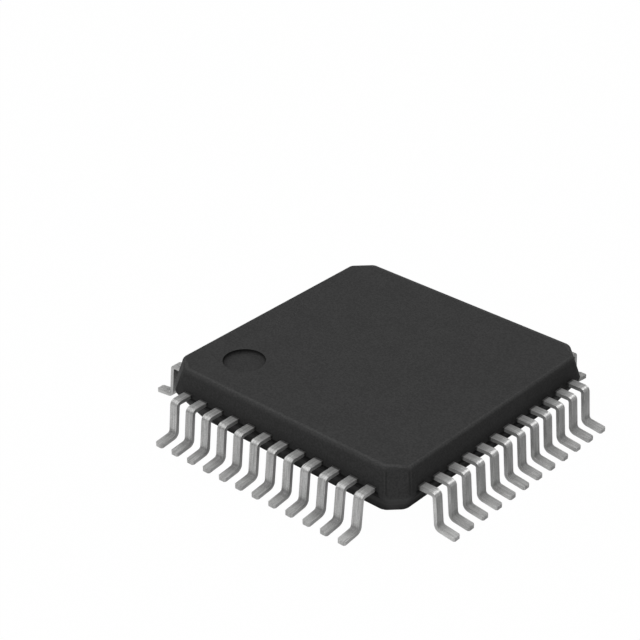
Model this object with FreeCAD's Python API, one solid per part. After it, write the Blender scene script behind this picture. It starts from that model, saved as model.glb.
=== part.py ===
import FreeCAD, Part
import math
import os

# Low-profile quad flat pack with twelve gull-wing leads on each side.
# Millimetres. The origin is on the board under the middle of the chip, Z is up.
# Seen from above with pin 1's recess at the lower left, the sides are south (-Y),
# east (+X), north (+Y) and west (-X), and the pins are numbered in that order.

# Lead rows
LEADS_PER_SIDE = 12
PITCH = 0.5
LEAD_WIDTH = 0.22
METAL_THICKNESS = 0.09
LEAD_REACH = 1.0          # body side to toe, in plan
FOOT_RUN = 0.54           # toe back to where the lines of foot and leg meet
FOOT_TILT = 7.0           # degrees that the foot slopes down to its toe
LEG_LEAN = 5.5            # degrees that the leg leans out from upright
SHOULDER_BEND = 0.045     # inside radius
FOOT_BEND = 0.08          # inside radius
TOE_CUT = 0.035           # leg of the toe's cut corners, in plan

# Moulded body
END_MARGIN = 0.75         # end lead's middle to the side of the body
STANDOFF = 0.1            # board to underside
LOWER_DEPTH = 0.79        # underside to parting line
UPPER_DEPTH = 0.61        # parting line to top
LOWER_DRAFT = 28.0        # degrees from upright
UPPER_DRAFT = 9.0         # degrees from upright
CORNER_CUT = 0.35         # leg of the cut corner, at the parting line and below
TOP_CORNER_CUT = 0.43     # and at the top
CORNER_RADIUS = 0.12      # in plan, on the upright edges of the cut corners
RIM_RADIUS = 0.09         # round the top
RECESS_DIAMETER = 1.0     # pin 1's recess
RECESS_DEPTH = 0.12
RECESS_DRAFT = 10.0       # degrees from upright
RECESS_INSET = 1.3        # side of the body to the recess's middle

# Inside the body
PADDLE_SIDE = 3.8
PADDLE_CORNER = 0.2       # leg of the paddle's cut corners
DOWNSET = 0.25            # lead's top to paddle's top
DOWNSET_SLOPE = 45.0      # degrees
TIE_BAR_WIDTH = 0.2
TIE_BAR_LEVEL_RUN = 0.2   # paddle's corner to the foot of the bar's slope
TIE_BAR_COVER = 0.12      # moulding between a bar's end and the cut corner
FINGER_GAP = 0.3          # paddle's side to the leads' inner tips
FINGER_SPACE = 0.12       # end finger to tie bar
FINGERTIP_WIDTH = 0.16
FINGER_STRAIGHT = 0.25    # side of the body to where the fingers turn in
DIE_SIDE = 2.9
DIE_THICKNESS = 0.28
ATTACH_THICKNESS = 0.02
ATTACH_MARGIN = 0.06      # how far the adhesive stands out round the die
WIRE_DIAMETER = 0.03
WIRE_SIDES = 4
WIRE_RISE = 0.13          # loop's top above the die
PAD_INSET = 0.08          # die's side to the middle of its bond pads
PAD_MARGIN = 0.35         # die's corner to the end pad's middle
BOND_INSET = 0.12         # fingertip's end to the middle of the bond

# Worked out from the sizes above
SIDES = ("south", "east", "north", "west")
ROW_LENGTH = (LEADS_PER_SIDE - 1) * PITCH
BODY_HALF = ROW_LENGTH / 2 + END_MARGIN
TOE = BODY_HALF + LEAD_REACH
PARTING = STANDOFF + LOWER_DEPTH
TOP = PARTING + UPPER_DEPTH
LEAD_TOP = PARTING + METAL_THICKNESS
PADDLE_TOP = LEAD_TOP - DOWNSET
DIE_BASE = PADDLE_TOP + ATTACH_THICKNESS
DIE_TOP = DIE_BASE + DIE_THICKNESS
FINGERTIP = PADDLE_SIDE / 2 + FINGER_GAP
FAN_HALF = FINGERTIP - math.sqrt(2) * (TIE_BAR_WIDTH / 2 + FINGER_SPACE) - FINGERTIP_WIDTH / 2

ORIGIN = FreeCAD.Vector(0, 0, 0)
ALONG_X = FreeCAD.Vector(1, 0, 0)
UP = FreeCAD.Vector(0, 0, 1)


def vector(x, y, z=0.0):
    return FreeCAD.Vector(x, y, z)


def turned(shape, degrees):
    """A copy of the shape, turned about the chip's middle."""
    copy = shape.copy()
    copy.rotate(ORIGIN, UP, degrees)
    return copy


def meet(a, a_way, b, b_way):
    """Where two lines in one plane meet, each given by a point and its direction."""
    across = a_way[0] * b_way[1] - a_way[1] * b_way[0]
    along = ((b[0] - a[0]) * b_way[1] - (b[1] - a[1]) * b_way[0]) / across
    return a[0] + along * a_way[0], a[1] + along * a_way[1]


def ways(points):
    """The direction of each run of a line of points, of length one."""
    found = []
    for (ax, ay), (bx, by) in zip(points, points[1:]):
        length = math.hypot(bx - ax, by - ay)
        found.append(((bx - ax) / length, (by - ay) / length))
    return found


def beside(points, distance):
    """The line that runs beside a line of points, at a distance to its left, with mitred corners."""
    runs = ways(points)
    starts = [(p[0] - distance * w[1], p[1] + distance * w[0]) for p, w in zip(points, runs)]
    last = (points[-1][0] - distance * runs[-1][1], points[-1][1] + distance * runs[-1][0])
    corners = [
        meet(starts[i], runs[i], starts[i + 1], runs[i + 1]) for i in range(len(runs) - 1)
    ]
    return [starts[0], *corners, last]


def rounded(points, radii):
    """Edges through a line of points in the XY plane, with an arc of its own radius at each corner."""
    runs = ways(points)
    edges = []
    start = vector(*points[0])
    for i, radius in enumerate(radii):
        before, after = vector(*runs[i]), vector(*runs[i + 1])
        corner = vector(*points[i + 1])
        cut = radius * math.tan(before.getAngle(after) / 2)
        enter = corner - before * cut
        leave = corner + after * cut
        inward = (after - before).normalize()
        reach = math.hypot(radius, cut)
        middle = corner + inward * (reach - radius)
        edges.append(Part.LineSegment(start, enter))
        edges.append(Part.Arc(enter, middle, leave))
        start = leave
    edges.append(Part.LineSegment(start, vector(*points[-1])))
    return [edge.toShape() for edge in edges]


def flat(*corners):
    """A flat face on its corners."""
    return Part.Face(Part.makePolygon([*corners, corners[0]]))


def closed(faces):
    """The solid that the faces enclose."""
    solid = Part.Solid(Part.Shell(faces))
    if solid.Orientation == "Reversed":
        solid = Part.Solid(Part.Shell([face.reversed() for face in faces]))
    return solid


def prism(outline, low, high):
    """An upright prism on an outline in plan."""
    corners = [vector(x, y, low) for x, y in outline]
    return flat(*corners).extrude(vector(0, 0, high - low))


def cut_square(half, cut):
    """A square in plan with its corners cut off."""
    edge = half - cut
    quarter = [(half, -edge), (half, edge)]
    outline = []
    for _ in SIDES:
        outline.extend(quarter)
        quarter = [(-y, x) for x, y in quarter]
    return outline


def moulded_outline(half, cut, level):
    """The body's outline at a level: a square with cut corners, each of its eight corners rounded."""
    block = prism(cut_square(half, cut), level, TOP + half)
    upright = [e for e in block.Edges if e.BoundBox.ZLength > half / 2]
    block = block.makeFillet(CORNER_RADIUS, upright)
    return min(block.Faces, key=lambda face: face.CenterOfMass.z).OuterWire


def drafted_sides(near, far):
    """The faces between two outlines of the body: flat sides, and bowed ones at the round corners."""
    faces = []
    for a, b in zip(near.OrderedEdges, far.OrderedEdges):
        if isinstance(a.Curve, Part.Line):
            ends = (a.Vertexes[0], a.Vertexes[1], b.Vertexes[1], b.Vertexes[0])
            faces.append(flat(*[end.Point for end in ends]))
        else:
            faces.append(Part.makeRuledSurface(a, b))
    return faces


def recess():
    """Pin 1's recess: a shallow round pocket with a drafted wall."""
    rim = RECESS_DIAMETER / 2
    floor = rim - RECESS_DEPTH * math.tan(math.radians(RECESS_DRAFT))
    section = [
        vector(0, 0, TOP - RECESS_DEPTH),
        vector(floor, 0, TOP - RECESS_DEPTH),
        vector(rim, 0, TOP),
        vector(rim, 0, TOP + RECESS_DEPTH),
        vector(0, 0, TOP + RECESS_DEPTH),
    ]
    pocket = flat(*section).revolve(ORIGIN, UP, 360)
    middle = BODY_HALF - RECESS_INSET
    pocket.translate(vector(-middle, -middle))
    return pocket


def body_outside():
    """The moulded body as it would be with nothing inside it."""
    lower_draw = LOWER_DEPTH * math.tan(math.radians(LOWER_DRAFT))
    upper_draw = UPPER_DEPTH * math.tan(math.radians(UPPER_DRAFT))
    underside = moulded_outline(BODY_HALF - lower_draw, CORNER_CUT, STANDOFF)
    parting = moulded_outline(BODY_HALF, CORNER_CUT, PARTING)
    top = moulded_outline(BODY_HALF - upper_draw, TOP_CORNER_CUT, TOP)
    faces = [Part.Face(underside), Part.Face(top)]
    faces += drafted_sides(underside, parting) + drafted_sides(parting, top)
    solid = closed(faces)
    rim = [edge for edge in solid.Edges if edge.BoundBox.ZMin > (PARTING + TOP) / 2]
    return solid.makeFillet(RIM_RADIUS, rim).cut(recess())


def lead_form():
    """A row of leads that faces +X as one wide bent strip, before it is cut into leads.

    The inside of the shoulder's bend is on the strip's lower surface, that of the foot's on the upper.
    """
    tilt = math.radians(FOOT_TILT)
    lean = math.radians(LEG_LEAN)
    heel = (TOE - FOOT_RUN, FOOT_RUN * math.tan(tilt))
    shoulder = (heel[0] - (PARTING - heel[1]) * math.tan(lean), PARTING)
    past_toe = (TOE + METAL_THICKNESS, -METAL_THICKNESS * math.tan(tilt))
    lower = [(FINGERTIP, PARTING), shoulder, heel, past_toe]
    upper = beside(lower, METAL_THICKNESS)
    edges = rounded(lower, (SHOULDER_BEND, FOOT_BEND + METAL_THICKNESS))
    edges += rounded(upper, (SHOULDER_BEND + METAL_THICKNESS, FOOT_BEND))
    for a, b in ((lower[0], upper[0]), (lower[-1], upper[-1])):
        edges.append(Part.makeLine(vector(*a), vector(*b)))
    face = Part.Face(Part.Wire(Part.__sortEdges__(edges)))
    face.rotate(ORIGIN, ALONG_X, 90)
    face.translate(vector(0, BODY_HALF))
    return face.extrude(vector(0, -2 * BODY_HALF))


def lead_outline(place):
    """One lead of a row that faces +X, in plan, with its middle at a place from -1 to 1 in the row."""
    y = place * ROW_LENGTH / 2
    tip = place * FAN_HALF
    knee = BODY_HALF - FINGER_STRAIGHT
    wide = LEAD_WIDTH / 2
    narrow = FINGERTIP_WIDTH / 2
    corner = TOE - TOE_CUT
    toe = wide - TOE_CUT
    return [
        (FINGERTIP, tip - narrow), (knee, y - wide), (corner, y - wide), (TOE, y - toe),
        (TOE, y + toe), (corner, y + wide), (knee, y + wide), (FINGERTIP, tip + narrow),
    ]


def places():
    """Where the leads stand in their row, from -1 to 1."""
    return [2 * i / (LEADS_PER_SIDE - 1) - 1 for i in range(LEADS_PER_SIDE)]


def lead_row():
    """The leads of the side that faces +X, from -Y to +Y."""
    form = lead_form()
    return [form.common(prism(lead_outline(place), -TOP, TOP)).Solids[0] for place in places()]


def paddle():
    """The die paddle with its four tie bars, each with the bends that set the paddle down."""
    half = PADDLE_SIDE / 2
    low = PADDLE_TOP - METAL_THICKNESS
    plate = prism(cut_square(half, PADDLE_CORNER), low, PADDLE_TOP)
    foot = math.sqrt(2) * (half - PADDLE_CORNER / 2) + TIE_BAR_LEVEL_RUN
    slope = DOWNSET / math.tan(math.radians(DOWNSET_SLOPE))
    end = math.sqrt(2) * (BODY_HALF - CORNER_CUT / 2) - TIE_BAR_COVER
    lower = [(half / 2, low), (foot, low), (foot + slope, PARTING), (end, PARTING)]
    outline = [*lower, *reversed(beside(lower, METAL_THICKNESS))]
    bar = flat(*[vector(x, -TIE_BAR_WIDTH / 2, z) for x, z in outline])
    bar = bar.extrude(vector(0, TIE_BAR_WIDTH))
    bars = [turned(bar, 45 + 90 * i) for i in range(len(SIDES))]
    return plate.fuse(bars).removeSplitter().Solids[0]


def square_plate(side, low, thickness):
    return Part.makeBox(side, side, thickness, vector(-side / 2, -side / 2, low))


def bond_wire(place):
    """One bond wire on the side that faces +X: up from its pad, then over and down to its finger.

    It is a prism of few sides round a bent line, and its ends lie flat on pad and finger.
    """
    pad = vector(DIE_SIDE / 2 - PAD_INSET, place * (DIE_SIDE / 2 - PAD_MARGIN), DIE_TOP)
    bond = vector(FINGERTIP + BOND_INSET, 0, LEAD_TOP)
    inward = BOND_INSET / (BODY_HALF - FINGER_STRAIGHT - FINGERTIP)
    bond.y = place * (FAN_HALF + inward * (ROW_LENGTH / 2 - FAN_HALF))
    span = vector(bond.x - pad.x, bond.y - pad.y)
    length = span.Length
    forward = vector(span.x / length, span.y / length)
    sideways = vector(-forward.y, forward.x)
    line = [(0.0, DIE_TOP), (0.0, DIE_TOP + WIRE_RISE), (length, LEAD_TOP)]
    edges = []
    for side in range(WIRE_SIDES):
        angle = 2 * math.pi * (side + 0.5) / WIRE_SIDES
        edge = beside(line, WIRE_DIAMETER / 2 * math.cos(angle))
        edge[-1] = meet(edge[-1], ways(line)[-1], (0.0, LEAD_TOP), (1.0, 0.0))
        base = vector(pad.x, pad.y) + sideways * (WIRE_DIAMETER / 2 * math.sin(angle))
        edges.append([base + forward * s + UP * z for s, z in edge])
    outlines = [[edge[0] for edge in edges], [edge[-1] for edge in edges]]
    for a, b in zip(edges, edges[1:] + edges[:1]):
        for i in range(len(line) - 1):
            outlines.append([a[i], a[i + 1], b[i + 1], b[i]])
    return closed([flat(*outline) for outline in outlines])


def build():
    """Every piece of the chip, by the name of its node."""
    row = lead_row()
    wires = [bond_wire(place) for place in places()]
    nodes = {}
    number = 1
    for i, side in enumerate(SIDES):
        angle = 90 * (i - 1)
        for lead in row:
            nodes[f"lead_{number:02d}"] = turned(lead, angle)
            number += 1
        nodes[f"bond_wires_{side}"] = Part.makeCompound([turned(w, angle) for w in wires])
    nodes["die_paddle"] = paddle()
    nodes["die_attach"] = square_plate(DIE_SIDE + 2 * ATTACH_MARGIN, PADDLE_TOP, ATTACH_THICKNESS)
    nodes["silicon_die"] = square_plate(DIE_SIDE, DIE_BASE, DIE_THICKNESS)
    inside = [solid for shape in nodes.values() for solid in shape.Solids]
    nodes["package_body"] = body_outside().cut(inside).Solids[0]
    return nodes


os.makedirs("parts", exist_ok=True)
for name, shape in build().items():
    shape.exportStep(f"parts/{name}.step")
    print(f"{name}: {len(shape.Solids)} solids, {shape.Volume:.5f} mm3")
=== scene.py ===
import math
from typing import NamedTuple

import bpy
from bpy.props import FloatProperty, FloatVectorProperty, PointerProperty
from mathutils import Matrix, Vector


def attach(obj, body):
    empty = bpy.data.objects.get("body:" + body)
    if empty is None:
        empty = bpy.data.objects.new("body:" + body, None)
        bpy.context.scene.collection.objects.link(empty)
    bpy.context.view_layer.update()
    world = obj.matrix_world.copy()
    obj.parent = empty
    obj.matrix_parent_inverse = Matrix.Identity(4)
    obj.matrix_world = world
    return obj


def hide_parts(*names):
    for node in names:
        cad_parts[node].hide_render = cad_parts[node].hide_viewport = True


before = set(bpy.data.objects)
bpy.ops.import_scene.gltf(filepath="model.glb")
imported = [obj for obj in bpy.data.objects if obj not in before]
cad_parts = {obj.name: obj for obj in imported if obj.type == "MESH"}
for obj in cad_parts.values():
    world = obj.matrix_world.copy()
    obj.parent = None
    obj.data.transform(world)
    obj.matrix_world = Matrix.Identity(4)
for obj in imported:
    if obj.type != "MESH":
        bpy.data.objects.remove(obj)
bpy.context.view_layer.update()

bl_info = {
    "name": "Quad Flat Pack Chip",
    "version": (1, 0, 0),
    "blender": (4, 5, 0),
    "location": "3D View > Sidebar > Chip",
    "description": "Moulds a chip's body, finishes its pieces and sets it on a pale floor",
    "category": "Object",
}

MM = 0.001
SIDES = ("south", "east", "north", "west")
LEADS = sorted(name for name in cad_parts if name.startswith("lead_"))
LEADS_PER_SIDE = len(LEADS) // len(SIDES)

# Moulding
OUTLINE_STEPS = 16            # planes of the outline: sides, cut corners and the eases between
TURN = 2 * math.pi / OUTLINE_STEPS
BLANK_SPREAD = 3              # the blank's width over the body's half: no plane grazes it
MERGE_DISTANCE = 1e-7         # metres
SLACK = 0.001 * MM            # how far a corner may lie off a level and still count as on it
RECESS_SIDES = 96
SMOOTH_ANGLE = math.radians(30.0)

SENSOR_WIDTH = 36.0           # millimetres

# Zones of a lead. Each is a smooth step from 0 to 1 between two places in millimetres.
SHOULDER = (0.87, 0.92)       # up from the board
# Heights of the painted highlight on the shoulder's bend
HIGHLIGHT_HEIGHT = (0.8, 0.9)
LOW_LEG = (0.8, 0.25)
FOOT = (0.25, 0.17)
BODY_END = (3.75, 3.5)        # out from the chip's middle
ROOT_SHADOW = (3.55, 3.52)
HEEL = (4.4, 4.1)
TOE_FACE = (4.49, 4.498)
# Where the painted highlight on the shoulder's bend begins, and its blur
HIGHLIGHT_START = 3.8
HIGHLIGHT_BLUR = 0.08
END_LEADS = (2.4, 2.6)        # along the row from its middle
LEG_BASE = 4.012              # where the middle of the legs' thickness would meet the board
LEG_LEAN = 0.0974             # how far it leans out for each millimetre down
LEG_BLUR = 0.02


class Tones(NamedTuple):
    """Factors on the tin's colour by zone of a lead, which fit the light that falls on a row."""

    highlight_end: float         # how far out the painted highlight on the shoulder reaches, in millimetres
    body_shade_loss: float          # painted shade on the shoulder next to the body
    leg_top: float
    leg_low: float
    heel: float
    toe: float
    side_shoulder: float      # the sheared sides from here on
    side_top: float
    side_low: float
    side_heel: float
    side_toe: float
    end_shade_loss: float           # painted shade on the toe's end face


NORTH_SOUTH = Tones(
    highlight_end=3.8, body_shade_loss=0.08, leg_top=1.02, leg_low=1.2, heel=0.64, toe=0.97,
    side_shoulder=0.95, side_top=1.15, side_low=0.78, side_heel=0.68, side_toe=0.77,
    end_shade_loss=0.03,
)
EAST_WEST = Tones(
    highlight_end=3.95, body_shade_loss=0.14, leg_top=0.65, leg_low=0.88, heel=0.79, toe=1.08,
    side_shoulder=1.12, side_top=1.35, side_low=1.5, side_heel=1.4, side_toe=1.42,
    end_shade_loss=0.3,
)


# Shaders

class Signal:
    """A socket that gives a number. Python's operators on it add Math nodes."""

    def __init__(self, graph, socket):
        self.graph = graph
        self.socket = socket

    def maths(self, operation, *values):
        """What a Math node makes of some values."""
        settings = {"operation": operation}
        return self.graph.signal("ShaderNodeMath", settings, dict(enumerate(values)), 0)

    def __add__(self, other):
        return self.maths("ADD", self, other)

    def __radd__(self, other):
        return self.maths("ADD", other, self)

    def __sub__(self, other):
        return self.maths("SUBTRACT", self, other)

    def __rsub__(self, other):
        return self.maths("SUBTRACT", other, self)

    def __mul__(self, other):
        return self.maths("MULTIPLY", self, other)

    def __rmul__(self, other):
        return self.maths("MULTIPLY", other, self)

    def __abs__(self):
        return self.maths("ABSOLUTE", self)

    def most(self, other):
        """The greater of the two."""
        return self.maths("MAXIMUM", self, other)

    def least(self, other):
        """The lesser of the two."""
        return self.maths("MINIMUM", self, other)

    def ramp(self, low, high):
        """0 where this is at low or under, 1 where it is at high or over, smooth between."""
        return self.graph.signal(
            "ShaderNodeMapRange",
            {"interpolation_type": "SMOOTHSTEP"},
            {"Value": self, "From Min": low, "From Max": high},
            "Result",
        )

    def band(self, low, high, blur):
        """1 between low and high, 0 outside them, with a blur on both sides."""
        return self.ramp(low - blur, low) * (1 - self.ramp(high, high + blur))


class Graph:
    """The nodes of a new material."""

    def __init__(self, name):
        self.material = bpy.data.materials.new(name)
        self.material.use_nodes = True
        self.tree = self.material.node_tree
        self.tree.nodes.clear()

    def node(self, kind, settings, inputs):
        """A node of a kind. Its settings are set first, then its sockets get values or links."""
        made = self.tree.nodes.new(kind)
        for name, value in settings.items():
            setattr(made, name, value)
        for name, value in inputs.items():
            socket = made.inputs[name]
            if isinstance(value, Signal):
                value = value.socket
            if isinstance(value, bpy.types.NodeSocket):
                self.tree.links.new(value, socket)
            elif socket.type == "RGBA" and len(value) == 3:
                socket.default_value = (*value, 1.0)
            else:
                socket.default_value = value
        return made

    def signal(self, kind, settings, inputs, output):
        """The number that a new node gives."""
        return Signal(self, self.node(kind, settings, inputs).outputs[output])

    def place(self, stretch=(1.0, 1.0, 1.0)):
        """The point on the piece in millimetres, with each axis stretched by a factor."""
        coordinates = self.node("ShaderNodeTexCoord", {}, {})
        scaled = self.node(
            "ShaderNodeMapping",
            {"vector_type": "POINT"},
            {"Vector": coordinates.outputs["Object"], "Scale": [s / MM for s in stretch]},
        )
        return scaled.outputs["Vector"]

    def axes(self, place):
        """The three parts of a point."""
        node = self.node("ShaderNodeSeparateXYZ", {}, {"Vector": place})
        return [Signal(self, output) for output in node.outputs]

    def distance(self, x, y, point):
        """The distance in a plane from a point."""
        ends = [
            self.node("ShaderNodeCombineXYZ", {}, dict(enumerate(pair))).outputs["Vector"]
            for pair in ((x, y), point)
        ]
        inputs = dict(enumerate(ends))
        return self.signal("ShaderNodeVectorMath", {"operation": "DISTANCE"}, inputs, "Value")

    def noise(self, place, size, detail=2.0, roughness=0.5):
        """Noise from 0 to 1 with features of a size in millimetres."""
        inputs = {"Vector": place, "Scale": 1 / size, "Detail": detail, "Roughness": roughness}
        return self.signal("ShaderNodeTexNoise", {}, inputs, "Fac")

    def cells(self, place, per_mm, randomness=1.0, distance="EUCLIDEAN"):
        """The distance from the middle of the nearest cell, with so many cells to a millimetre."""
        inputs = {"Vector": place, "Scale": per_mm, "Randomness": randomness}
        return self.signal("ShaderNodeTexVoronoi", {"distance": distance}, inputs, "Distance")

    def shaded(self, colour, factor):
        """A colour times a factor that varies."""
        grey = self.node("ShaderNodeCombineColor", {}, {0: factor, 1: factor, 2: factor})
        node = self.node(
            "ShaderNodeMix",
            {"data_type": "RGBA", "blend_type": "MULTIPLY"},
            {"Factor": 1.0, 6: colour, 7: grey.outputs[0]},
        )
        return node.outputs[2]

    def blend(self, factor, a, b):
        """Colour a where the factor is 0, colour b where it is 1."""
        node = self.node(
            "ShaderNodeMix",
            {"data_type": "RGBA"},
            {"Factor": factor, 6: a, 7: b},
        )
        return node.outputs[2]

    def bump(self, height, depth):
        """The normal of a surface that stands up by a depth in millimetres where height is 1."""
        inputs = {"Height": height, "Strength": 1.0, "Distance": depth * MM}
        return self.node("ShaderNodeBump", {}, inputs).outputs["Normal"]

    def finish(self, shader):
        self.node("ShaderNodeOutputMaterial", {}, {"Surface": shader})
        return self.material

    def principled(self, inputs):
        return self.finish(self.node("ShaderNodeBsdfPrincipled", {}, inputs).outputs["BSDF"])


def shade(colour, factor):
    """A colour made lighter or darker by a factor."""
    return [channel * factor for channel in colour]


def spread(colour, contrast):
    """The darker and the lighter end of a colour that strays either way."""
    return shade(colour, 1 - contrast), shade(colour, 1 + contrast)


def between(a, b, share):
    """a where the share is 0, b where it is 1."""
    return a + (b - a) * share


class BodySpot:
    """Where a point lies on the body: signals in millimetres, and masks from 0 to 1."""

    def __init__(self, graph, place, look):
        corner_leg, corner_blur, face_blur = 0.35, 0.1, 0.2
        side_start, side_end = 0.09, 0.1
        self.x, self.y, self.z = graph.axes(place)
        x, y = abs(self.x), abs(self.y)
        past_side = x.most(y) - look.top_half / MM
        past_corner = (x + y) * math.sqrt(0.5) - look.top_corner / MM
        self.outward = past_side.most(past_corner)      # past the flat top's outline
        self.along = x.least(y)                         # along a side from its middle
        self.beside = abs(x - y) - corner_leg           # past the edge of a cut corner
        self.on_sides = self.outward.ramp(side_start, side_end)
        self.on_x = (x - y).ramp(-face_blur, face_blur)
        self.on_flat = self.beside.ramp(0.0, corner_blur)
        self.on_corner = self.beside.ramp(corner_blur, 0.0)


def painted_rim_highlight(spot):
    """A painted highlight makes a paler line along the rim. On -X and +X it is fainter and lies
    further out.
    """
    inner, outer, blur = -0.03, 0.01, 0.03
    gain, less_on_x, shift_on_x = 0.3, 0.06, 0.05
    rim_highlight = (spot.outward - shift_on_x * spot.on_x).band(inner, outer, blur)
    return 1 + rim_highlight * (gain - less_on_x * spot.on_x)


def crease_shade_and_glint(spot, parting):
    """Over the parting line, painted shade darkens each edge of a cut corner to a dark crease line,
    with a painted glint beside it.
    """
    crease_edge, crease_core, crease_shade_loss = 0.045, 0.015, 0.3
    glint_start, glint_end, glint_blur, glint_gain = 0.05, 0.06, 0.02, 0.15
    line_blur = 0.02
    upper = spot.on_sides * spot.z.ramp(parting, parting + line_blur)
    crease = upper * abs(spot.beside).ramp(crease_edge, crease_core)
    glint = upper * spot.beside.band(glint_start, glint_end, glint_blur)
    return (1 - crease_shade_loss * crease) * (1 + glint_gain * glint)


def side_shade(spot):
    """The flat sides are darker than the top, and darkest towards +Y.

    The cut corners are a little paler on +X, and darker on -X.
    """
    flank_start, flank_end, shift_on_x, flank_loss = 0.08, 0.1, 0.06, 0.14
    north_start, north_end, north_loss = 0.5, 3.4, 0.3
    west_end, west_loss, corner_gain = -1.0, 0.4, 0.08
    flank = (spot.outward + shift_on_x * spot.on_x).ramp(flank_start, flank_end) * spot.on_flat
    north = spot.y.ramp(north_start, north_end) * spot.on_sides
    west = spot.x.ramp(0.0, west_end)
    corner = spot.on_corner * spot.on_sides
    gain = 1 + (corner_gain - west_loss * west) * corner
    return (1 - flank_loss * flank) * (1 - north_loss * north) * gain


def painted_belt_light(spot, parting, band):
    """Painted light: under the parting line the sides are paler, most of all on the upright band.
    """
    start, end, band_blur = 0.01, -0.06, 0.05
    gain, band_gain = 0.08, 0.1
    under = spot.z.ramp(parting + start, parting + end)
    on_band = spot.z.ramp(parting - band - band_blur, parting - band)
    return 1 + under * (gain + band_gain * on_band) * spot.on_sides


def root_shade(spot, parting):
    """A row of leads shades the side: deeply under the parting line, faintly over it."""
    row_half, row_blur = 2.95, 0.05
    under_start, under_end, under_loss = 0.01, -0.02, 0.85
    over_reach, over_loss = 0.3, 0.2
    roots = spot.on_sides * spot.along.ramp(row_half, row_half - row_blur)
    under = roots * spot.z.ramp(parting + under_start, parting + under_end)
    over = roots * spot.z.ramp(parting + over_reach, parting)
    return (1 - under_loss * under) * (1 - over_loss * over)


def recess_shade(graph, spot, look):
    """The recess is darker than the top: its floor a little, more so near the wall, and its wall.

    The depths are shares of the recess's own. The first two keep the shade off the underside.
    """
    rim, depth, top = look.recess_radius / MM, look.recess_depth / MM, look.top / MM
    no_depth, full_depth, wall_foot, wall_head = 1.2, 1.1, 0.7, 0.1
    rim_blur, near_wall = 0.004, 0.25
    floor_loss, near_loss, wall_loss = 0.08, 0.08, 0.65
    from_middle = graph.distance(spot.x, spot.y, [-look.recess_place / MM] * 2)
    within = from_middle.ramp(rim + rim_blur, rim)
    within = within * spot.z.ramp(top - no_depth * depth, top - full_depth * depth)
    wall = within * spot.z.ramp(top - wall_foot * depth, top - wall_head * depth)
    floor = within * (floor_loss + near_loss * from_middle.ramp(rim - near_wall, rim))
    return (1 - wall_loss * wall) * (1 - floor)


def mould_compound(look):
    """Dark filled epoxy: fine glass grain in a matt skin, with painted light and shade on its rim,
    corners, sides and recess.
    """
    grain_share, tone_low, tone_high, grain_sheen = 0.85, 0.35, 0.65, 0.12
    graph = Graph("mould_compound")
    place = graph.place()
    grain = graph.noise(place, look.grain_size / MM, detail=2.0, roughness=0.7)
    flow = graph.noise(place, look.flow_size / MM, detail=2.0)
    tone = (grain_share * grain + (1 - grain_share) * flow).ramp(tone_low, tone_high)
    colour = graph.blend(tone, *spread(look.colour, look.contrast))
    spot = BodySpot(graph, place, look)
    parting, band = look.parting / MM, look.band / MM
    # Painted light and shade on the body: rim highlight, corner creases, sides, belt, lead roots
    # and recess
    gain = painted_rim_highlight(spot) * crease_shade_and_glint(spot, parting) * side_shade(spot) * painted_belt_light(spot, parting, band)
    gain = gain * root_shade(spot, parting) * recess_shade(graph, spot, look)
    return graph.principled({
        "Base Color": graph.shaded(colour, gain),
        "Roughness": look.roughness + grain_sheen * (grain - 0.5),
        "Specular IOR Level": look.gloss,
        "Normal": graph.bump(grain, look.grain_depth / MM),
    })


def lead_gain(parts, across, far_side, tones, sheared):
    """The painted light and shade on a lead's colour at a point, whose three parts are in
    millimetres.

    It goes by zone, on the flat faces and on the sheared sides: a painted highlight on the
    shoulder's bend and a painted shadow where the lead leaves the body. The row that faces away
    gets more painted shade on its legs' inner faces and on its sides, and more painted light on
    its feet, and the last leads of each row get paler feet.
    """
    # Amounts of painted light and shade, for the shoulder, the root, the end leads and the far row
    highlight_gain, root_shadow_loss, end_lead_gain = 0.3, 0.75, 0.12
    far_leg_loss, far_foot_gain, far_side_loss = 0.42, 0.2, 0.25
    out, up = abs(parts[1 - across]), parts[2]
    far = (parts[1 - across] * far_side).ramp(0.0, 1.0)
    last = abs(parts[across]).ramp(*END_LEADS)
    shoulder, foot = up.ramp(*SHOULDER), up.ramp(*FOOT)
    leg = 1 - shoulder - foot
    low, heel = up.ramp(*LOW_LEG), out.ramp(*HEEL)

    # Painted highlight on the shoulder's bend, and painted shade next to the body
    highlighted = out.band(HIGHLIGHT_START, tones.highlight_end, HIGHLIGHT_BLUR) * up.ramp(*HIGHLIGHT_HEIGHT)
    flat_shoulder = (1 - tones.body_shade_loss * out.ramp(*BODY_END)) * (1 + highlight_gain * highlighted)
    # Painted shade on the inner faces of the far row's legs
    inner_face = (LEG_BASE - LEG_LEAN * up - out).ramp(0.0, LEG_BLUR)
    flat_leg = between(tones.leg_top, tones.leg_low, low) * (1 - far_leg_loss * far * inner_face)
    flat_foot = between(tones.toe, tones.heel, heel)
    # Painted light on the far row's feet and on the end leads' feet
    flat_foot = flat_foot * (1 + far_foot_gain * far) * (1 + end_lead_gain * last)
    flat = shoulder * flat_shoulder + leg * flat_leg + foot * flat_foot

    side_leg = between(tones.side_top, tones.side_low, low)
    side_foot = between(tones.side_toe, tones.side_heel, heel)
    side = tones.side_shoulder * shoulder + side_leg * leg + side_foot * foot
    # Painted shade on the far row's sides
    side = side * (1 - far_side_loss * far)

    # Painted shadow where the lead leaves the body, and painted shade on the toe's end face
    ends = (1 - root_shadow_loss * out.ramp(*ROOT_SHADOW)) * (1 - tones.end_shade_loss * out.ramp(*TOE_FACE))
    return between(flat, side, sheared) * ends


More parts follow.
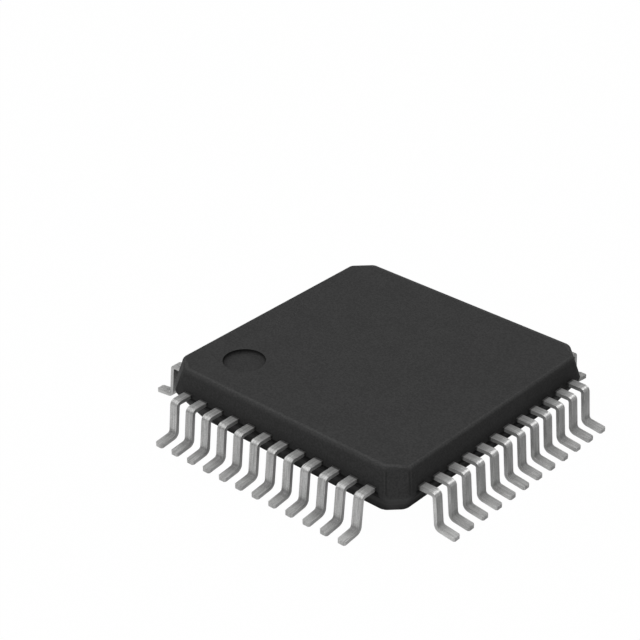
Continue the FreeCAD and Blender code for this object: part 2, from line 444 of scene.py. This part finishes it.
def tin_plate(name, across, far_side, tones, look):
    """Matt tin on a formed lead: drawn streaks along it, which vary only across it, and crystals.

    across is the axis that a row runs along, and far_side the sign of the row that faces away.
    """
    streak_share, tone_low, tone_high = 0.45, 0.35, 0.65
    shear_start, shear_end = 0.004, 0.001
    bend_edge, bend_core, bend_roughness = 0.12, 0.085, 0.35
    crystal_sheen, streak_depth = 0.15, 0.5
    graph = Graph(name)
    along = look.streak_width / look.streak_length
    streaks = graph.noise(
        graph.place([1.0 if axis == across else along for axis in range(3)]),
        look.streak_width / MM, detail=2.0, roughness=0.6,
    )
    place = graph.place()
    parts = graph.axes(place)
    crystals = graph.noise(place, look.crystal_size / MM, detail=3.0, roughness=0.65)
    tone = (streak_share * streaks + (1 - streak_share) * crystals).ramp(tone_low, tone_high)
    colour = graph.blend(tone, *spread(look.colour, look.contrast))

    pitch, half = look.pitch / MM, look.width / MM / 2
    turns = parts[across] * (1 / pitch)
    from_middle = abs(turns.maths("FRACT", turns) - 0.5) * pitch
    sheared = from_middle.ramp(half - shear_start, half - shear_end)
    # Painted light and shade by zone of the lead
    gain = lead_gain(parts, across, far_side, tones, sheared)
    bend = graph.distance(abs(parts[1 - across]), parts[2], [part / MM for part in look.bend])
    worked = bend.ramp(bend_edge, bend_core)
    relief = streak_depth * streaks + (1 - streak_depth) * crystals
    return graph.principled({
        "Base Color": graph.shaded(colour, gain),
        "Metallic": look.metallic,
        "Roughness": look.roughness + crystal_sheen * (crystals - 0.5) + bend_roughness * worked,
        "Normal": graph.bump(relief, look.texture_depth / MM),
    })


def rolled_copper(look):
    """Bare copper sheet with rolling marks."""
    roll_size, roll_stretch, roll_depth = 0.03, 0.05, 0.001
    stain_size, stain_low, stain_high, stain_shade = 0.5, 0.35, 0.75, 0.7
    smoothest, roughened = 0.3, 0.15
    graph = Graph("frame_copper")
    marks = graph.noise(graph.place((1.0, roll_stretch, 1.0)), roll_size, detail=2.0)
    stain = graph.noise(graph.place(), stain_size, detail=3.0).ramp(stain_low, stain_high)
    return graph.principled({
        "Base Color": graph.blend(stain, look.copper, shade(look.copper, stain_shade)),
        "Metallic": 1.0,
        "Roughness": smoothest + roughened * marks,
        "Normal": graph.bump(marks, roll_depth),
    })


def silver_adhesive(look):
    """Cured adhesive filled with silver flakes."""
    flakes_per_mm, flake_start, flake_end, flake_depth = 60.0, 0.1, 0.5, 0.002
    bright, dull, metal_share = 1.25, 0.75, 0.3
    smoothest, roughened = 0.45, 0.3
    graph = Graph("die_adhesive")
    flakes = graph.cells(graph.place(), flakes_per_mm)
    tone = flakes.ramp(flake_start, flake_end)
    return graph.principled({
        "Base Color": graph.blend(tone, shade(look.adhesive, bright), shade(look.adhesive, dull)),
        "Metallic": metal_share,
        "Roughness": smoothest + roughened * flakes,
        "Normal": graph.bump(flakes, flake_depth),
    })


def polished_silicon(look):
    """Silicon with the blocks of its circuits on top, which break up its polish."""
    blocks_per_mm, block_jumble, block_share = 3.0, 0.8, 0.6
    cells_per_mm, cell_jumble = 30.0, 0.5
    tone_low, tone_high, bright, metal_share = 0.2, 0.6, 1.8, 0.6
    smoothest, roughened = 0.12, 0.2
    graph = Graph("silicon")
    place = graph.place()
    blocks = graph.cells(place, blocks_per_mm, block_jumble, "CHEBYCHEV")
    cells = graph.cells(place, cells_per_mm, cell_jumble, "CHEBYCHEV")
    pattern = block_share * blocks + (1 - block_share) * cells
    tone = pattern.ramp(tone_low, tone_high)
    return graph.principled({
        "Base Color": graph.blend(tone, look.silicon, shade(look.silicon, bright)),
        "Metallic": metal_share,
        "Roughness": smoothest + roughened * pattern,
    })


def drawn_gold(look):
    """Bond wire with faint drawing marks."""
    mark_size, mark_shade = 0.02, 0.92
    smoothest, roughened = 0.18, 0.1
    graph = Graph("bond_gold")
    marks = graph.noise(graph.place(), mark_size, detail=2.0)
    return graph.principled({
        "Base Color": graph.blend(marks, shade(look.gold, mark_shade), look.gold),
        "Metallic": 1.0,
        "Roughness": smoothest + roughened * marks,
    })


def pale_floor(look):
    """A matt pale floor that the camera, gloss and glass see nearly white.

    What gloss sees is painted light and shade: the white is brightest towards -X and -Y, and a
    painted shadow takes it away under the chip, apart from the floor under its corners.
    """
    cover_edge, cover_core = 3.9, 3.2
    corner_edge, corner_core = 3.0, 2.7
    back_share, fade = 0.08, 4.0
    dust_size, dust_shade = 0.4, 0.97
    graph = Graph("pale_floor")
    place = graph.place()
    dust = graph.noise(place, dust_size, detail=3.0)
    colour = graph.blend(dust, shade(look.floor_colour, dust_shade), look.floor_colour)
    matt = graph.node("ShaderNodeBsdfDiffuse", {}, {"Color": colour})
    white = graph.node("ShaderNodeEmission", {}, {"Color": (1.0, 1.0, 1.0), "Strength": 1.0})
    rays = graph.node("ShaderNodeLightPath", {}, {})
    camera, glossy, through = (
        Signal(graph, rays.outputs[kind])
        for kind in ("Is Camera Ray", "Is Glossy Ray", "Is Transmission Ray")
    )
    x, y, _ = graph.axes(place)
    x_out, y_out = abs(x), abs(y)
    # Painted shadow under the chip in what gloss sees
    painted_floor_shadow = x_out.most(y_out).ramp(cover_edge, cover_core)
    painted_floor_shadow = painted_floor_shadow * x_out.least(y_out).ramp(corner_edge, corner_core)
    # Painted reflection, brighter towards -X and -Y
    front = (x + y).ramp(fade, -fade)
    mirrored = glossy * (back_share + look.gloss_share * front) * (1 - painted_floor_shadow)
    seen = camera.most(through).most(mirrored) * look.floor_glow
    lit = graph.node(
        "ShaderNodeMixShader", {}, {0: seen, 1: matt.outputs[0], 2: white.outputs[0]},
    )
    behind = graph.node("ShaderNodeNewGeometry", {}, {}).outputs["Backfacing"]
    clear = graph.node("ShaderNodeBsdfTransparent", {}, {})
    both = graph.node(
        "ShaderNodeMixShader", {}, {0: behind, 1: lit.outputs[0], 2: clear.outputs[0]},
    )
    return graph.finish(both.outputs[0])


# Settings

class ChipBody(bpy.types.PropertyGroup):
    """The moulded body's sizes and finish."""

    half: FloatProperty(
        name="Half", description="Middle to the side of the body at the parting line",
        subtype="DISTANCE", unit="LENGTH", default=3.5 * MM,
    )
    underside: FloatProperty(
        name="Underside", description="Height of the underside",
        subtype="DISTANCE", unit="LENGTH", default=0.1 * MM,
    )
    top: FloatProperty(
        name="Top", description="Height of the flat top",
        subtype="DISTANCE", unit="LENGTH", default=1.5 * MM,
    )
    parting: FloatProperty(
        name="Parting", description="Height of the parting line",
        subtype="DISTANCE", unit="LENGTH", default=0.89 * MM,
    )
    band: FloatProperty(
        name="Band", description="Height of the upright band under the parting line",
        subtype="DISTANCE", unit="LENGTH", default=0.07 * MM,
    )
    upper_draft: FloatProperty(
        name="Upper draft", description="Lean of the sides over the parting line",
        subtype="ANGLE", unit="ROTATION", default=math.radians(9.0),
    )
    lower_inset: FloatProperty(
        name="Lower inset", description="From the parting line in to the underside's edge, in plan",
        subtype="DISTANCE", unit="LENGTH", default=0.42 * MM,
    )
    corner_cut: FloatProperty(
        name="Corner cut", description="Leg of the cut corners at the parting line",
        subtype="DISTANCE", unit="LENGTH", default=0.32 * MM,
    )
    low_corner_cut: FloatProperty(
        name="Low corner cut", description="Leg of the cut corners at the underside",
        subtype="DISTANCE", unit="LENGTH", default=0.35 * MM,
    )
    top_corner_cut: FloatProperty(
        name="Top corner cut", description="Leg of the cut corners at the top",
        subtype="DISTANCE", unit="LENGTH", default=0.43 * MM,
    )
    corner_radius: FloatProperty(
        name="Corner radius", description="Radius that eases the cut corners into the sides",
        subtype="DISTANCE", unit="LENGTH", default=0.19 * MM,
    )
    low_corner_radius: FloatProperty(
        name="Low corner radius", description="The same radius at the underside",
        subtype="DISTANCE", unit="LENGTH", default=0.3 * MM,
    )
    rim_radius: FloatProperty(
        name="Rim radius", description="Radius round the top",
        subtype="DISTANCE", unit="LENGTH", default=0.09 * MM,
    )
    upright_ease: FloatProperty(
        name="Upright ease", description="Size of the bevel along the upright edges",
        subtype="DISTANCE", unit="LENGTH", default=0.03 * MM,
    )
    belt_ease: FloatProperty(
        name="Belt ease", description="Size of the bevel under the upright band",
        subtype="DISTANCE", unit="LENGTH", default=0.04 * MM,
    )
    underside_ease: FloatProperty(
        name="Underside ease", description="Size of the bevel round the underside",
        subtype="DISTANCE", unit="LENGTH", default=0.015 * MM,
    )
    top_half: FloatProperty(
        name="Top half", description="Middle to the side of the flat top",
        subtype="DISTANCE", unit="LENGTH", default=3.3265 * MM,
    )
    top_corner: FloatProperty(
        name="Top corner", description="Middle to the cut corner of the flat top",
        subtype="DISTANCE", unit="LENGTH", default=4.4432 * MM,
    )
    recess_place: FloatProperty(
        name="Recess place", description="How far the recess lies towards -X and -Y",
        subtype="DISTANCE", unit="LENGTH", default=2.2 * MM,
    )
    recess_radius: FloatProperty(
        name="Recess radius", description="Radius of the recess at its rim",
        subtype="DISTANCE", unit="LENGTH", default=0.5 * MM,
    )
    recess_depth: FloatProperty(
        name="Recess depth", description="Depth of the recess",
        subtype="DISTANCE", unit="LENGTH", default=0.12 * MM,
    )
    recess_fillet: FloatProperty(
        name="Recess fillet", description="Size of the soft bend from the wall into the floor",
        subtype="DISTANCE", unit="LENGTH", default=0.06 * MM,
    )
    recess_draft: FloatProperty(
        name="Recess draft", description="Lean of the recess's wall",
        subtype="ANGLE", unit="ROTATION", default=math.radians(10.0),
    )
    colour: FloatVectorProperty(
        name="Colour", description="Mean colour of the mould compound", subtype="COLOR",
        size=3, min=0.0, max=1.0, default=(0.045, 0.045, 0.045),
    )
    contrast: FloatProperty(
        name="Contrast", description="How far the colour strays either way",
        subtype="FACTOR", min=0.0, max=1.0, default=0.16,
    )
    roughness: FloatProperty(
        name="Roughness", description="Mean roughness of the skin",
        subtype="FACTOR", min=0.0, max=1.0, default=0.55,
    )
    gloss: FloatProperty(
        name="Gloss", description="How strongly the skin reflects",
        subtype="FACTOR", min=0.0, max=1.0, default=0.05,
    )
    grain_size: FloatProperty(
        name="Grain size", description="Size of the filler's grain",
        subtype="DISTANCE", unit="LENGTH", min=0.0, default=0.045 * MM,
    )
    grain_depth: FloatProperty(
        name="Grain depth", description="Depth of the grain in the skin",
        subtype="DISTANCE", unit="LENGTH", min=0.0, default=0.003 * MM,
    )
    flow_size: FloatProperty(
        name="Flow size", description="Size of the cloudy marks that the flow leaves",
        subtype="DISTANCE", unit="LENGTH", min=0.0, default=0.8 * MM,
    )


class ChipLeads(bpy.types.PropertyGroup):
    """The tinned leads' finish."""

    colour: FloatVectorProperty(
        name="Colour", description="Mean colour of the tin plate", subtype="COLOR",
        size=3, min=0.0, max=1.0, default=(0.48, 0.48, 0.475),
    )
    contrast: FloatProperty(
        name="Contrast", description="How far the colour strays either way",
        subtype="FACTOR", min=0.0, max=1.0, default=0.28,
    )
    metallic: FloatProperty(
        name="Metallic", description="How much of the plate shines as metal",
        subtype="FACTOR", min=0.0, max=1.0, default=0.65,
    )
    roughness: FloatProperty(
        name="Roughness", description="Mean roughness of the plate",
        subtype="FACTOR", min=0.0, max=1.0, default=0.42,
    )
    streak_width: FloatProperty(
        name="Streak width", description="Width of a drawn streak",
        subtype="DISTANCE", unit="LENGTH", min=0.0, default=0.03 * MM,
    )
    streak_length: FloatProperty(
        name="Streak length", description="Length of a drawn streak",
        subtype="DISTANCE", unit="LENGTH", min=0.0, default=0.6 * MM,
    )
    crystal_size: FloatProperty(
        name="Crystal size", description="Size of the plate's crystals",
        subtype="DISTANCE", unit="LENGTH", min=0.0, default=0.02 * MM,
    )
    pitch: FloatProperty(
        name="Pitch", description="Middle to middle of neighbouring leads",
        subtype="DISTANCE", unit="LENGTH", min=0.0, default=0.5 * MM,
    )
    width: FloatProperty(
        name="Width", description="Width of a lead",
        subtype="DISTANCE", unit="LENGTH", min=0.0, default=0.22 * MM,
    )
    bend: FloatVectorProperty(
        name="Bend", description="Middle of the foot's bend: out from the chip's middle and up",
        subtype="XYZ_LENGTH", size=2, default=(4.1165 * MM, 0.2184 * MM),
    )
    texture_depth: FloatProperty(
        name="Texture depth", description="Depth of streaks and crystals",
        subtype="DISTANCE", unit="LENGTH", min=0.0, default=0.006 * MM,
    )


class ChipInside(bpy.types.PropertyGroup):
    """The colours of the pieces that the body covers."""

    copper: FloatVectorProperty(
        name="Copper", description="Colour of the bare lead frame", subtype="COLOR",
        size=3, min=0.0, max=1.0, default=(0.72, 0.4, 0.26),
    )
    adhesive: FloatVectorProperty(
        name="Adhesive", description="Colour of the silver-filled adhesive", subtype="COLOR",
        size=3, min=0.0, max=1.0, default=(0.45, 0.45, 0.44),
    )
    silicon: FloatVectorProperty(
        name="Silicon", description="Colour of the die", subtype="COLOR",
        size=3, min=0.0, max=1.0, default=(0.1, 0.11, 0.13),
    )
    gold: FloatVectorProperty(
        name="Gold", description="Colour of the bond wires", subtype="COLOR",
        size=3, min=0.0, max=1.0, default=(0.9, 0.68, 0.3),
    )


class ChipStage(bpy.types.PropertyGroup):
    """The floor, lamps and camera."""

    floor_size: FloatProperty(
        name="Floor size", description="Side of the square floor",
        subtype="DISTANCE", unit="LENGTH", min=0.0, default=2.0,
    )
    floor_colour: FloatVectorProperty(
        name="Floor colour", description="Colour of the floor as it lights the chip",
        subtype="COLOR", size=3, min=0.0, max=1.0, default=(0.75, 0.75, 0.75),
    )
    floor_glow: FloatProperty(
        name="Floor glow", description="How far the camera sees the floor as plain white",
        subtype="FACTOR", min=0.0, max=1.0, default=0.99,
    )
    gloss_share: FloatProperty(
        name="Gloss share", description="How much of that white shiny pieces reflect",
        subtype="FACTOR", min=0.0, max=1.0, default=0.42,
    )
    sky: FloatProperty(
        name="Sky", description="Strength of the even light from all round",
        min=0.0, default=0.13,
    )
    key_power: FloatProperty(
        name="Key power", description="Power of the soft box above the front left",
        subtype="POWER", unit="POWER", min=0.0, default=0.112,
    )
    key_place: FloatVectorProperty(
        name="Key place", description="Middle of the soft box", subtype="TRANSLATION",
        unit="LENGTH", size=3, default=(-0.018, -0.033, 0.09),
    )
    key_size: FloatProperty(
        name="Key size", description="Side of the square soft box",
        subtype="DISTANCE", unit="LENGTH", min=0.0, default=0.15,
    )
    back_power: FloatProperty(
        name="Back power", description="Power of the small soft box at the back right",
        subtype="POWER", unit="POWER", min=0.0, default=0.0225,
    )
    back_place: FloatVectorProperty(
        name="Back place", description="Middle of the small soft box", subtype="TRANSLATION",
        unit="LENGTH", size=3, default=(0.025, 0.062, 0.074),
    )
    back_size: FloatProperty(
        name="Back size", description="Side of the small square soft box",
        subtype="DISTANCE", unit="LENGTH", min=0.0, default=0.04,
    )
    camera_place: FloatVectorProperty(
        name="Camera place", description="Where the camera stands", subtype="TRANSLATION",
        unit="LENGTH", size=3, precision=5, default=(0.022353, -0.027278, 0.02276),
    )
    camera_azimuth: FloatProperty(
        name="Camera azimuth", description="Turn of the camera from the front to the right",
        subtype="ANGLE", unit="ROTATION", default=math.radians(41.54),
    )
    camera_elevation: FloatProperty(
        name="Camera elevation", description="How steeply the camera looks down",
        subtype="ANGLE", unit="ROTATION", default=math.radians(29.94),
    )
    lens: FloatProperty(
        name="Lens", description="Focal length on a 36 mm sensor", min=1.0, default=99.94,
    )


class ChipSettings(bpy.types.PropertyGroup):
    """All of the chip's settings."""

    body: PointerProperty(type=ChipBody)
    leads: PointerProperty(type=ChipLeads)
    inside: PointerProperty(type=ChipInside)
    stage: PointerProperty(type=ChipStage)


# Pieces

def clad(names, material):
    """Gives CAD nodes a material."""
    for name in names:
        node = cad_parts[name]
        for held in node.material_slots:
            held.material = material


def select_edges(mesh, wanted):
    """Selects the edges whose two ends pass a test, in edge mode, and nothing else."""
    bpy.ops.mesh.select_mode(type="EDGE")
    bpy.ops.mesh.select_all(action="DESELECT")
    bpy.ops.object.mode_set(mode="OBJECT")
    for edge in mesh.edges:
        edge.select = wanted(*(mesh.vertices[i].co for i in edge.vertices))
    bpy.ops.object.mode_set(mode="EDIT")


def bevel(offset, segments):
    """Rounds the selected edges."""
    bpy.ops.mesh.bevel(
        offset=offset, offset_type="OFFSET", segments=segments, affect="EDGES",
        clamp_overlap=False,
    )


class CHIP_OT_mould_body(bpy.types.Operator):
    """Moulds the body: two drafted halves with soft cut corners, a soft rim and the recess"""

    bl_idname = "chip.mould_body"
    bl_label = "Mould body"

    def execute(self, context):
        look = context.scene.chip.body
        body = self.blank(look)
        bpy.ops.object.mode_set(mode="EDIT")
        self.pare_sides(look)
        self.round_edges(body.data, look)
        bpy.ops.object.mode_set(mode="OBJECT")
        self.sink_recess(body, look)
        bpy.ops.object.shade_smooth_by_angle(angle=SMOOTH_ANGLE)
        body.modifiers.new("even_shading", "WEIGHTED_NORMAL").keep_sharp = True
        bpy.ops.object.modifier_apply(modifier="even_shading")
        body.data.materials.clear()
        body.data.materials.append(mould_compound(look))
        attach(body, "root")
        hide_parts("package_body")
        return {"FINISHED"}

    def blank(self, look):
        """Adds a block of the body's height that is wider than the body."""
        bpy.ops.object.select_all(action="DESELECT")
        width = BLANK_SPREAD * look.half
        bpy.ops.mesh.primitive_cube_add(
            size=1.0, location=(0, 0, (look.top + look.underside) / 2),
            scale=(width, width, look.top - look.underside),
        )
        body = bpy.context.object
        body.name = "moulded_body"
        bpy.ops.object.transform_apply(location=True, rotation=True, scale=True)
        return body

    def pare(self, turn, near, far):
        """Cuts away what lies beyond a plane.

        The plane faces a way in plan and goes through two points, each given by its distance
        from the middle that way and its height.
        """
        way = Vector((math.cos(turn), math.sin(turn), 0.0))
        run = way * (far[0] - near[0]) + Vector((0.0, 0.0, far[1] - near[1]))
        normal = Vector((-way.y, way.x, 0.0)).cross(run)
        if normal.dot(way) < 0:
            normal.negate()
        bpy.ops.mesh.select_all(action="SELECT")
        bpy.ops.mesh.bisect(
            plane_co=way * near[0] + Vector((0.0, 0.0, near[1])), plane_no=normal.normalized(),
            use_fill=True, clear_outer=True, threshold=MERGE_DISTANCE,
        )

    def reach(self, step, half, cut, radius):
        """From the middle to a plane of the outline: a side, a cut corner, or an ease between."""
        if step % 4 == 0:
            return half
        if step % 4 == 2:
            return (2 * half - cut) / math.sqrt(2)
        edge = half * math.cos(TURN) + (half - cut) * math.sin(TURN)
        return edge - radius * (1 / math.cos(TURN) - 1)

    def pare_sides(self, look):
        """Pares the blank down to the outlines at the top, at both ends of the band and below."""
        top_half = look.half - (look.top - look.parting) * math.tan(look.upper_draft)
        low_half = look.half - look.lower_inset
        levels = (
            (look.top, top_half, look.top_corner_cut, look.corner_radius),
            (look.parting, look.half, look.corner_cut, look.corner_radius),
            (look.parting - look.band, look.half, look.corner_cut, look.corner_radius),
            (look.underside, low_half, look.low_corner_cut, look.low_corner_radius),
        )
        for step in range(OUTLINE_STEPS):
            outline = [(self.reach(step, *rest), height) for height, *rest in levels]
            for upper, lower in zip(outline, outline[1:]):
                self.pare(step * TURN, upper, lower)

    def round_edges(self, mesh, look):
        """Rounds the upright edges, and then the rim, the foot of the band and the underside."""
        select_edges(mesh, lambda a, b: abs(a.z - b.z) > look.band / 2)
        bevel(look.upright_ease, segments=3)
        rim = look.rim_radius * math.tan((math.pi / 2 - look.upper_draft) / 2)
        for height, offset, segments in (
            (look.top, rim, 4),
            (look.parting - look.band, look.belt_ease, 3),
            (look.underside, look.underside_ease, 2),
        ):
            select_edges(mesh, lambda a, b: max(abs(a.z - height), abs(b.z - height)) < SLACK)
            bevel(offset, segments)

    def sink_recess(self, body, look):
        """Sinks the recess with a cone, which stands as far above the top as it goes in."""
        flare = look.recess_depth * math.tan(look.recess_draft)
        bpy.ops.mesh.primitive_cone_add(
            vertices=RECESS_SIDES, radius1=look.recess_radius - flare,
            radius2=look.recess_radius + flare, depth=2 * look.recess_depth,
            location=(-look.recess_place, -look.recess_place, look.top),
        )
        tool = bpy.context.object
        bpy.ops.object.transform_apply(location=True, rotation=True, scale=True)
        bpy.ops.object.mode_set(mode="EDIT")
        deepest = look.top - look.recess_depth
        select_edges(tool.data, lambda a, b: max(a.z, b.z) < deepest + SLACK)
        bevel(look.recess_fillet, segments=4)
        bpy.ops.object.mode_set(mode="OBJECT")
        sunk = body.modifiers.new("recess", "BOOLEAN")
        sunk.object = tool
        sunk.operation = "DIFFERENCE"
        sunk.solver = "EXACT"
        bpy.context.view_layer.objects.active = body
        bpy.ops.object.modifier_apply(modifier="recess")
        bpy.data.objects.remove(tool)
        bpy.ops.object.select_all(action="DESELECT")
        body.select_set(True)
        bpy.context.view_layer.objects.active = body


class CHIP_OT_finish_leads(bpy.types.Operator):
    """Gives the leads of each side their tin plate, with its streaks along the lead"""

    bl_idname = "chip.finish_leads"
    bl_label = "Finish leads"

    def execute(self, context):
        look = context.scene.chip.leads
        plates = (
            tin_plate("tin_plate_ns", across=0, far_side=1, tones=NORTH_SOUTH, look=look),
            tin_plate("tin_plate_ew", across=1, far_side=-1, tones=EAST_WEST, look=look),
        )
        for i in range(len(SIDES)):
            row = LEADS[i * LEADS_PER_SIDE:(i + 1) * LEADS_PER_SIDE]
            clad(row, plates[i % 2])
        return {"FINISHED"}


class CHIP_OT_finish_inside(bpy.types.Operator):
    """Gives paddle, adhesive, die and bond wires their finishes"""

    bl_idname = "chip.finish_inside"
    bl_label = "Finish inside"

    def execute(self, context):
        look = context.scene.chip.inside
        clad(["die_paddle"], rolled_copper(look))
        clad(["die_attach"], silver_adhesive(look))
        clad(["silicon_die"], polished_silicon(look))
        clad([f"bond_wires_{side}" for side in SIDES], drawn_gold(look))
        return {"FINISHED"}


class CHIP_OT_set_stage(bpy.types.Operator):
    """Lays the floor, hangs the lamps and sets up the camera"""

    bl_idname = "chip.set_stage"
    bl_label = "Set stage"

    def execute(self, context):
        look = context.scene.chip.stage
        context.scene.view_settings.view_transform = "Standard"
        self.floor(look)
        self.sky(context.scene, look)
        self.lamp("key_light", look.key_place, look.key_size, look.key_power)
        self.lamp("back_light", look.back_place, look.back_size, look.back_power)
        self.camera(context.scene, look)
        return {"FINISHED"}

    def floor(self, look):
        bpy.ops.object.select_all(action="DESELECT")
        bpy.ops.mesh.primitive_plane_add(size=look.floor_size)
        floor = bpy.context.object
        floor.name = "floor"
        floor.data.materials.append(pale_floor(look))

    def sky(self, scene, look):
        world = bpy.data.worlds.new("studio")
        world.use_nodes = True
        scene.world = world
        background = world.node_tree.nodes["Background"]
        background.inputs["Color"].default_value = (1.0, 1.0, 1.0, 1.0)
        background.inputs["Strength"].default_value = look.sky

    def lamp(self, name, place, size, power):
        bpy.ops.object.light_add(type="AREA", location=place)
        lamp = bpy.context.object
        lamp.name = name
        lamp.data.shape = "SQUARE"
        lamp.data.size = size
        lamp.data.energy = power
        lamp.rotation_euler = Vector(place).to_track_quat("Z", "Y").to_euler()

    def camera(self, scene, look):
        azimuth, elevation = look.camera_azimuth, look.camera_elevation
        back = Vector((
            math.sin(azimuth) * math.cos(elevation),
            -math.cos(azimuth) * math.cos(elevation),
            math.sin(elevation),
        ))
        bpy.ops.object.camera_add(
            location=look.camera_place,
            rotation=(-back).to_track_quat("-Z", "Y").to_euler(),
        )
        camera = bpy.context.object
        camera.name = "camera"
        camera.data.lens = look.lens
        camera.data.sensor_width = SENSOR_WIDTH
        camera.data.clip_start = 1 * MM
        camera.data.clip_end = 10.0
        scene.camera = camera


class CHIP_PT_panel(bpy.types.Panel):
    """Lists the chip's settings and steps"""

    bl_idname = "CHIP_PT_panel"
    bl_label = "Quad Flat Pack Chip"
    bl_space_type = "VIEW_3D"
    bl_region_type = "UI"
    bl_category = "Chip"

    def draw(self, context):
        settings = context.scene.chip
        for title, group, step in (
            ("Body", settings.body, "chip.mould_body"),
            ("Leads", settings.leads, "chip.finish_leads"),
            ("Inside", settings.inside, "chip.finish_inside"),
            ("Stage", settings.stage, "chip.set_stage"),
        ):
            box = self.layout.box()
            box.label(text=title)
            for name in group.bl_rna.properties.keys():
                if name not in ("rna_type", "name"):
                    box.prop(group, name)
            box.operator(step)


CLASSES = (
    ChipBody, ChipLeads, ChipInside, ChipStage, ChipSettings,
    CHIP_OT_mould_body, CHIP_OT_finish_leads, CHIP_OT_finish_inside, CHIP_OT_set_stage,
    CHIP_PT_panel,
)


def register():
    for cls in CLASSES:
        bpy.utils.register_class(cls)
    bpy.types.Scene.chip = PointerProperty(type=ChipSettings)


def unregister():
    del bpy.types.Scene.chip
    for cls in reversed(CLASSES):
        bpy.utils.unregister_class(cls)


def main():
    register()
    bpy.ops.chip.mould_body()
    bpy.ops.chip.finish_leads()
    bpy.ops.chip.finish_inside()
    bpy.ops.chip.set_stage()


if __name__ == "__main__":
    main()
